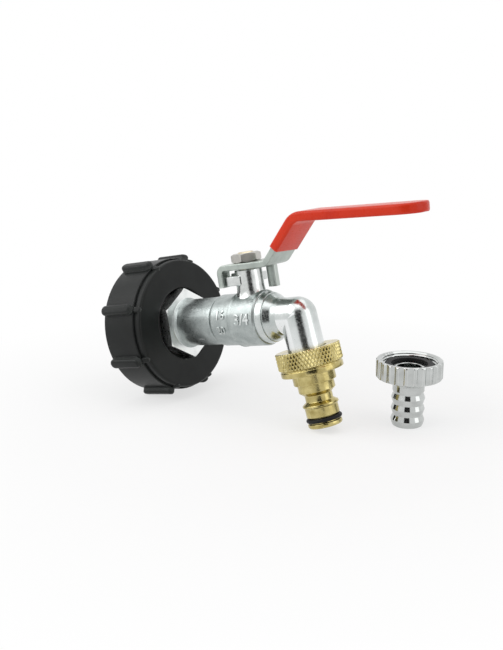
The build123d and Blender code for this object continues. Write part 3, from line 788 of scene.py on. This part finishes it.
def makeLever():
    v = lever
    line = splitRuns(roundedCorners(leverCorners(), False, 14), *everywhere, v["lineStep"], False)
    level = v["plateBottom"] + v["thickness"] / 2
    # Where the plate gets wider than the tongue, its far corner is rounded in small steps.
    cornerRound, plateStart, steps = v["plateBackRound"], -v["plateBack"], v["cornerSteps"]
    along = [-0.001, 0.001] + [cornerRound * (step / steps) ** 2 for step in range(1, steps + 1)]
    before = [point for point in line if point.x < plateStart - v["clearance"]]
    after = [point for point in line if point.x > cornerRound + plateStart + v["clearance"]]
    line = before + [Vector((step + plateStart, level)) for step in along] + after
    tip = line[-1]
    line[-1] = tip - (tip - line[-2]).normalized() * sleeve["wall"]
    strip = stripShape(line, v["halfWidth"], v["thickness"], v["edgeRound"], 0)
    tab = pillBox(
        (v["tabStart"], v["halfWidth"] - v["thickness"], v["tabBottom"]),
        (v["tabStart"] + v["tabLength"], v["halfWidth"] - v["tabInset"], v["plateBottom"] + v["tabLap"]),
        v["tabRound"])
    piece = meshPiece("leverStrip", joined([strip, tab]), aboutStem, "zincSteel", "lever", ["lever"], 35)


def makeSleeve():
    v = lever
    corners = leverCorners()
    foot = Vector(corners[2][:2])
    head = Vector(corners[3][:2])
    start = foot + (head - foot).normalized() * sleeve["start"]
    line = roundedCorners([tuple(start), corners[3], corners[4]], False, 16)
    line = splitRuns(line, *everywhere, sleeve["lineStep"], False)
    thickness = v["thickness"] + 2 * sleeve["wall"]
    noseRadius = v["halfWidth"] + sleeve["wall"]

    def lip(across):
        # The dipped edge runs askew and a little wavy across the strip.
        slant = sleeve["lipSlant"] * (0.5 - across / (2 * noseRadius))
        return slant + sleeve["lipWave"] * math.sin(across * 0.9)

    shape = stripShape(line, noseRadius, thickness, sleeve["edgeRound"], sleeve["wall"], lip)
    piece = meshPiece("leverSleeve", shape, aboutStem, "redSleeve", "lever", ["lever_sleeve"], 50)


makeLever()
makeSleeve()
print("lever made")

stemNut = {
    "flats": 13.0, "low": 28.1, "high": 32.5, "flat": 6.2, "slope": 30, "round": 0.35, "hole": 3.85,
    "turn": -12, "edgeSteps": 5,
}


def makeStemNut():
    n = stemNut
    shape = hexagonShape(
        n["flats"], n["low"], n["high"], n["flat"], n["slope"], n["round"], n["hole"], n["turn"],
        n["edgeSteps"])
    piece = meshPiece("leverNut", shape, aboutStem, "nutSteel", "lever", ["stem_nut"], 25)


makeStemNut()
print("stem nut made")

connector = {
    "start": 16.2, "socket": 13.2, "knurl": 15.7, "top": 0.6, "topDepth": 1.2, "topBore": 9.3,
    "knurlTop": 0.15, "knurlBottom": -7.5, "knurlRunout": 0.3, "flange": 15.1, "flangeEnd": -11.3,
    "ring": 10.35, "ringEnd": -16.3, "lowerRing": 8.9, "lowerRingEnd": -20.1, "neck": 6.65,
    "neckStart": -21.9, "neckEnd": -25.0, "bump": 8.8, "bumpAt": -26.8, "barrel": 8.05,
    "barrelStart": -27.9, "barrelEnd": -32.3, "groove": 7.0, "grooveEnd": -35.4, "tip": 8.3,
    "tipEnd": -37.6, "bore": 5.0, "socketEnd": -9.3, "grooves": 58, "perGroove": 10, "grooveDepth": 0.5,
    "grooveWidth": 0.42, "grooveSlope": 27, "beadRadius": 0.85, "beadSquash": 1.15, "beadWave": 0.05,
    "beadPoints": 15, "beadColumns": 96,
}


def knurledRadius(radius, height, angle):
    # Two crossing sets of steep grooves on the widest band.
    c = connector
    runout = c["knurlRunout"]
    if radius < c["knurl"] - 0.02 or not c["knurlBottom"] - runout < height < c["knurlTop"] + runout:
        return radius
    shift = height * math.tan(math.radians(c["grooveSlope"])) / c["knurl"]
    deepest = 0
    for side in (1, -1):
        turns = (angle + side * shift) * c["grooves"] / (2 * math.pi)
        deepest = max(deepest, 1 - min(1, sawtooth(turns) / c["grooveWidth"]))
    return radius - c["grooveDepth"] * deepest


def makeConnector():
    # The profile runs down the outside, from the top opening over the knurl to the nipple's tip.
    c = connector
    socketTop = c["top"] - c["topDepth"]
    knurlEnd, flangeEdge, bumpAt = c["knurlBottom"], c["flange"] - 0.35, c["bumpAt"]
    corners = [
        (c["topBore"], socketTop), (c["topBore"], c["top"] - 0.3, 0.2), (c["knurl"] - 0.6, c["top"], 0.3),
        (c["knurl"], c["knurlTop"]), (c["knurl"], knurlEnd), (flangeEdge, knurlEnd - 0.5, 0.15),
        (flangeEdge, knurlEnd - 0.9, 0.15), (c["flange"], knurlEnd - 1.3, 0.3),
        (c["flange"], c["flangeEnd"], 0.6), (c["ring"], c["flangeEnd"] + 0.1, 0.25),
        (c["ring"], c["ringEnd"], 0.6), (c["lowerRing"], c["ringEnd"], 0.2),
        (c["lowerRing"], c["lowerRingEnd"], 0.4), (c["neck"], c["neckStart"], 0.8),
        (c["neck"], c["neckEnd"], 0.6), (c["bump"] - 0.1, bumpAt + 0.4, 0.5), (c["bump"], bumpAt - 0.3, 0.4),
        (c["barrel"], c["barrelStart"], 0.4), (c["barrel"], c["barrelEnd"], 0.3),
        (c["groove"], c["barrelEnd"], 0.2), (c["groove"], c["grooveEnd"], 0.2),
        (c["tip"], c["grooveEnd"], 0.3), (c["tip"], c["tipEnd"], 1.2), (c["bore"], c["tipEnd"], 0.4),
        (c["bore"], c["socketEnd"]), (c["socket"], c["socketEnd"]), (c["socket"], socketTop)]
    columns = c["grooves"] * c["perGroove"]
    rowStep = 2 * math.pi * c["knurl"] / columns / math.tan(math.radians(c["grooveSlope"]))
    points = splitRuns(roundedCorners(corners, True, 5), knurlEnd, c["knurlTop"], rowStep)
    place = downLeg @ Matrix.Translation((0, 0, -c["start"]))
    shape = turnedShape(points, columns, knurledRadius)
    piece = meshPiece("connectorBrass", shape, place, "turnedBrass", "valve", ["tap_connector"], 32)

    middle = (c["barrelEnd"] + c["grooveEnd"]) / 2
    bead = c["beadRadius"]
    circle = [
        Vector((c["groove"] + bead + bead * math.cos(a), middle + bead * c["beadSquash"] * math.sin(a)))
        for a in (math.radians(360 / c["beadPoints"] * step) for step in range(c["beadPoints"]))]
    shape = turnedShape(
        circle, c["beadColumns"], lambda radius, height, angle: radius + c["beadWave"] * math.sin(3 * angle))
    ring = meshPiece("connectorRing", shape, place, "blackRubber", "valve", ["nipple_o_ring"], 60)


makeConnector()
print("tap connector made")

tail = {
    "rim": 32.7, "nutBottom": 23.7, "nut": 15.9, "floor": 25.5, "thread": 13.25, "threadPitch": 1.5,
    "threadDepth": 0.6, "threadStart": 29.28, "relief": 12.2, "neck": 7.65, "flange": 11.7,
    "flangeLow": 25.58, "flangeTop": 29.3, "washerTop": 30.9, "washerHole": 8.6, "beadTop": 23.62,
    "bore": 5.6, "barb": 8.1, "barbs": (3.2, 8.6, 14.0), "bead": 8.3, "flutes": 24, "perFlute": 16,
    "fluteRound": 1.9, "fluteDepth": 0.75, "runningGap": 0.08, "threadLead": 0.7, "threadFade": 0.8,
    "threadStep": 0.2, "barbFall": 2.5, "line": 0.22, "lineLow": 20.6, "lineHigh": 21.0,
    "columns": 128, "washerColumns": 96,
}


def flutedRadius(radius, height, angle):
    t = tail
    if abs(radius - t["thread"]) < 0.01 and height > t["threadStart"]:
        turns = height / t["threadPitch"] + angle / (2 * math.pi)
        fade = min(1, (t["rim"] - height) / t["threadFade"])
        ridge = max(0, min(1, (0.5 - sawtooth(turns)) * 3 - 0.5))
        return radius - t["threadDepth"] * ridge * fade
    if radius < t["nut"] - 3:
        return radius
    pitch = 2 * math.pi / t["flutes"]
    offset = angle - pitch * round(angle / pitch)
    centre = t["nut"] + t["fluteRound"] - t["fluteDepth"]
    inside = t["fluteRound"] ** 2 - (centre * math.sin(offset)) ** 2
    if inside <= 0:
        return radius
    return min(radius, centre * math.cos(offset) - math.sqrt(inside))


def makeUnionNut():
    t = tail
    neckHole = t["neck"] + t["runningGap"]
    threadTop = t["rim"] - t["threadLead"]
    corners = [
        (neckHole, t["nutBottom"]), (t["nut"], t["nutBottom"], 1.1), (t["nut"], t["rim"], 1.0),
        (t["thread"] + 0.9, t["rim"], 0.4), (t["thread"], threadTop, 0.2), (t["thread"], t["threadStart"]),
        (t["relief"], t["threadStart"], 0.2), (t["relief"], t["floor"]), (neckHole, t["floor"])]
    points = splitRuns(roundedCorners(corners, True, 7), t["threadStart"], threadTop, t["threadStep"])
    shape = turnedShape(points, t["flutes"] * t["perFlute"], flutedRadius)
    piece = meshPiece("tailNut", shape, tailFrame, "brightChrome", "union_nut", ["union_nut"], 40)


def makeTail():
    t = tail
    neck, flange, washerHole = t["neck"], t["flange"], t["washerHole"]
    corners = [(t["bore"], 0, 0.5), (neck - 0.4, 0, 1.0), (neck + 0.2, 1.9, 0.8)]
    for crest in t["barbs"]:
        corners += [(t["barb"], crest, 0.9), (neck - 0.45, crest + t["barbFall"], 0.6)]
    corners += [
        (neck, 17.6, 0.8), (neck, t["lineLow"] - 0.2, 0.1), (neck + t["line"], t["lineLow"], 0.1),
        (neck + t["line"], t["lineHigh"], 0.1), (neck, t["lineHigh"] + 0.2, 0.1), (neck, 22.3, 0.3),
        (t["bead"], 22.8, 0.3), (t["bead"], t["beadTop"]), (neck, t["beadTop"]), (neck, t["flangeLow"]),
        (flange, t["flangeLow"], 0.2), (flange, t["flangeTop"], 0.2), (t["bore"], t["flangeTop"], 0.3)]
    shape = turnedShape(roundedCorners(corners, True, 6), t["columns"])
    piece = meshPiece("tailBarbs", shape, tailFrame, "brightChrome", "valve", ["hose_tail"], 40)
    corners = [
        (washerHole, t["flangeTop"], 0.3), (flange, t["flangeTop"], 0.4),
        (flange, t["washerTop"], 0.5), (washerHole, t["washerTop"], 0.4)]
    shape = turnedShape(roundedCorners(corners, True, 5), t["washerColumns"])
    piece = meshPiece("tailWasher", shape, tailFrame, "blackRubber", "valve", ["union_washer"], 60)


makeUnionNut()
makeTail()
print("hose tail made")

keptSolids = {
    "coupling_gasket": "blackRubber", "inlet_seal": "blackRubber", "seat_inlet": "whiteSeat",
    "seat_outlet": "whiteSeat", "ball": "brightChrome", "stem": "stemBrass",
    "stem_thrust_washer": "whiteSeat", "stem_o_rings": "blackRubber", "body_seal": "blackRubber",
    "connector_washer": "blackRubber",
}
for nodeName, finish in keptSolids.items():
    solid = frame["nodes"][nodeName]
    solid.data.materials.clear()
    solid.data.materials.append(finishes[finish])
    solid.data.shade_smooth()
    solid.data.set_sharp_from_angle(angle=math.radians(30))
print("inner solids finished:", len(keptSolids))

studio = {
    "floorSize": 6.0, "floorColour": (0.93, 0.93, 0.93), "floorRoughness": 0.9, "floorGloss": 0.1,
    "shadowShare": 0.34, "shadowReach": 0.11, "skyForDiffuse": 0.5,
    "screenSize": (0.22, 0.42), "screenDistance": 0.32, "screenShade": 0.02,
    "lamps": [  # name, watts, width and height, place
        ("keyLamp", 4.2, (0.9, 0.9), (-0.5, -0.75, 0.75)),
        ("topLamp", 3.0, (1.1, 1.1), (0.05, 0.1, 1.0)),
        ("sideLamp", 1.2, (0.5, 0.8), (0.9, 0.15, 0.45)),
        ("stripLamp", 0.7, (0.05, 0.9), (-0.75, -0.35, 0.5))],
}


def sheetMesh(name, wide, high):
    mesh = bpy.data.meshes.new(name)
    x, y = wide / 2, high / 2
    mesh.from_pydata([(-x, -y, 0), (x, -y, 0), (x, y, 0), (-x, y, 0)], [], [(0, 1, 2, 3)])
    return mesh


def makeFloor():
    mesh = sheetMesh("floor", studio["floorSize"], studio["floorSize"])
    floor = bpy.data.objects.new("floor", mesh)
    bpy.context.scene.collection.objects.link(floor)
    material, tree, shader, place = newFinish("floorPaper")
    shader.inputs["Base Color"].default_value = (*studio["floorColour"], 1)
    shader.inputs["Roughness"].default_value = studio["floorRoughness"]
    shader.inputs["Specular IOR Level"].default_value = studio["floorGloss"]
    glow = tree.nodes.new("ShaderNodeEmission")
    glow.inputs["Color"].default_value = (1, 1, 1, 1)
    glow.inputs["Strength"].default_value = 1
    path = tree.nodes.new("ShaderNodeLightPath")
    seen = seenRays(tree, path)
    distance = tree.nodes.new("ShaderNodeVectorMath")
    distance.operation = "LENGTH"
    tree.links.new(place, distance.inputs[0])
    # The floor is white paper to the camera. Near the set, part of it is lit, so that it holds a shadow.
    reach = studio["shadowReach"]
    whiteness = rangeOf(tree, distance.outputs["Value"], 1 - studio["shadowShare"], 1, reach, 2 * reach)
    share = tree.nodes.new("ShaderNodeMath")
    share.operation = "MULTIPLY"
    tree.links.new(whiteness, share.inputs[1])
    tree.links.new(seen, share.inputs[0])
    mix = tree.nodes.new("ShaderNodeMixShader")
    tree.links.new(share.outputs[0], mix.inputs["Fac"])
    tree.links.new(shader.outputs[0], mix.inputs[1])
    tree.links.new(glow.outputs[0], mix.inputs[2])
    tree.links.new(mix.outputs[0], tree.nodes["Material Output"].inputs["Surface"])
    mesh.materials.append(material)


def seenRays(tree, path):
    # 1 for camera, glossy and transmission rays, which all see the white background.
    total = path.outputs["Is Camera Ray"]
    for name in ("Is Glossy Ray", "Is Transmission Ray"):
        join = tree.nodes.new("ShaderNodeMath")
        join.operation = "MAXIMUM"
        tree.links.new(total, join.inputs[0])
        tree.links.new(path.outputs[name], join.inputs[1])
        total = join.outputs[0]
    return total


def makeSky():
    world = bpy.data.worlds.new("studioSky")
    bpy.context.scene.world = world
    world.use_nodes = True
    tree = world.node_tree
    background = tree.nodes["Background"]
    path = tree.nodes.new("ShaderNodeLightPath")
    strength = rangeOf(tree, seenRays(tree, path), studio["skyForDiffuse"], 1, 0, 1)
    background.inputs["Color"].default_value = (1, 1, 1, 1)
    tree.links.new(strength, background.inputs["Strength"])


def aimed(place, target):
    return (Vector(target) - Vector(place)).to_track_quat("-Z", "Y").to_euler()


def softLamp(name, power, size, place, target):
    light = bpy.data.lights.new(name, "AREA")
    light.shape = "RECTANGLE"
    light.size, light.size_y = size
    light.energy = power
    lamp = bpy.data.objects.new(name, light)
    lamp.location = place
    lamp.rotation_euler = aimed(place, target)
    bpy.context.scene.collection.objects.link(lamp)


def darkCard(name, size, place, target, shade):
    # A dark screen in front of the set, which only shows as a reflection in bright metal.
    mesh = sheetMesh(name, *size)
    card = bpy.data.objects.new(name, mesh)
    card.location = place
    card.rotation_euler = aimed(place, target)
    bpy.context.scene.collection.objects.link(card)
    material, tree, shader, coordinates = newFinish(name + "Cloth")
    shader.inputs["Base Color"].default_value = (shade, shade, shade, 1)
    shader.inputs["Roughness"].default_value = 1
    mesh.materials.append(material)
    card.visible_camera = False
    card.visible_diffuse = False
    card.visible_shadow = False


camera = {
    "azimuth": 37.448, "elevation": 14.077, "distance": 0.443912, "lens": 49.841,
    "sensor": 36, "target": (-0.008938, -0.005276, 0.044427),
}


def makeCamera():
    azimuth = math.radians(camera["azimuth"])
    elevation = math.radians(camera["elevation"])
    level = math.cos(elevation)
    back = Vector((math.sin(azimuth) * level, -math.cos(azimuth) * level, math.sin(elevation)))
    data = bpy.data.cameras.new("photoCamera")
    data.lens = camera["lens"]
    data.sensor_width = camera["sensor"]
    data.clip_start = 0.01
    eye = bpy.data.objects.new("photoCamera", data)
    eye.location = Vector(camera["target"]) + back * camera["distance"]
    eye.rotation_euler = (-back).to_track_quat("-Z", "Y").to_euler()
    bpy.context.scene.collection.objects.link(eye)
    bpy.context.scene.camera = eye
    return back


makeFloor()
makeSky()
towardsCamera = makeCamera()
setMiddle = Vector(camera["target"])
for name, power, size, place in studio["lamps"]:
    softLamp(name, power, size, place, setMiddle)
screenPlace = setMiddle + towardsCamera * studio["screenDistance"]
darkCard("cameraScreen", studio["screenSize"], screenPlace, setMiddle, studio["screenShade"])
bpy.context.scene.view_settings.view_transform = "Standard"
print("studio made")

print("pieces ready")
